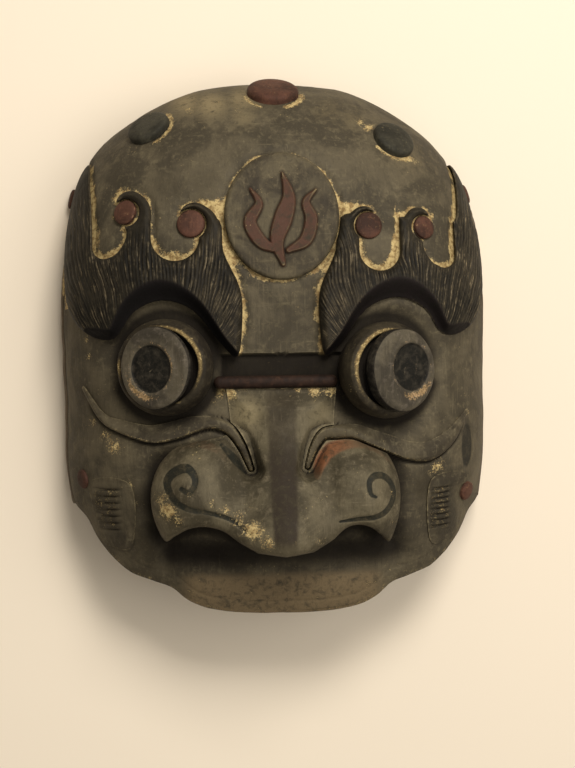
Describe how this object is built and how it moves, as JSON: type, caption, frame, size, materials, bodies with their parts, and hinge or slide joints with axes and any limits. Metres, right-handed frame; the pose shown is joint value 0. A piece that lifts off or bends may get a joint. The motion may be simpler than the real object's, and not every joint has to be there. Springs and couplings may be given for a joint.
{
  "type": "lion dance head",
  "caption": "Carved and painted wooden lion mask with a hollow back, staring barrel eyes, combed curling brows, a broad snout and a round forehead medallion.",
  "frame": {"origin": "middle of the bounding box at the height of the back rim, on the plane that the rim rests on", "axes": "+Z out of the face, +Y towards the crown, +X to the right of someone who looks at the face"},
  "size_m": [0.3112, 0.3778, 0.1563],
  "materials": {
    "patina_wood": "old matt paint and dark patina, rubbed at the edges",
    "hair_wood": "black-brown paint in combed grooves, rubbed on the ridges",
    "red_wood": "red-brown paint, matt and rubbed",
    "green_wood": "dark green-grey paint, matt and rubbed"
  },
  "bodies": {
    "root": {"bead_cheek_left": "red_wood", "bead_cheek_right": "red_wood", "bead_inner_left": "red_wood", "bead_inner_right": "red_wood", "bead_middle_left": "red_wood", "bead_middle_right": "red_wood", "bead_outer_left": "red_wood", "bead_outer_right": "red_wood", "bridge_roll": "red_wood", "brow_left": "hair_wood", "brow_right": "hair_wood", "cheek_fold_left": "patina_wood", "cheek_fold_right": "patina_wood", "cheek_tuft_left": "patina_wood", "cheek_tuft_right": "patina_wood", "eye_ball_left": "patina_wood", "eye_ball_right": "patina_wood", "eye_ring_left": "patina_wood", "eye_ring_right": "patina_wood", "knob_crown": "red_wood", "knob_left": "green_wood", "knob_right": "green_wood", "mask_shell": "patina_wood", "medallion": "red_wood", "snout": "patina_wood"}
  },
  "joints": []
}
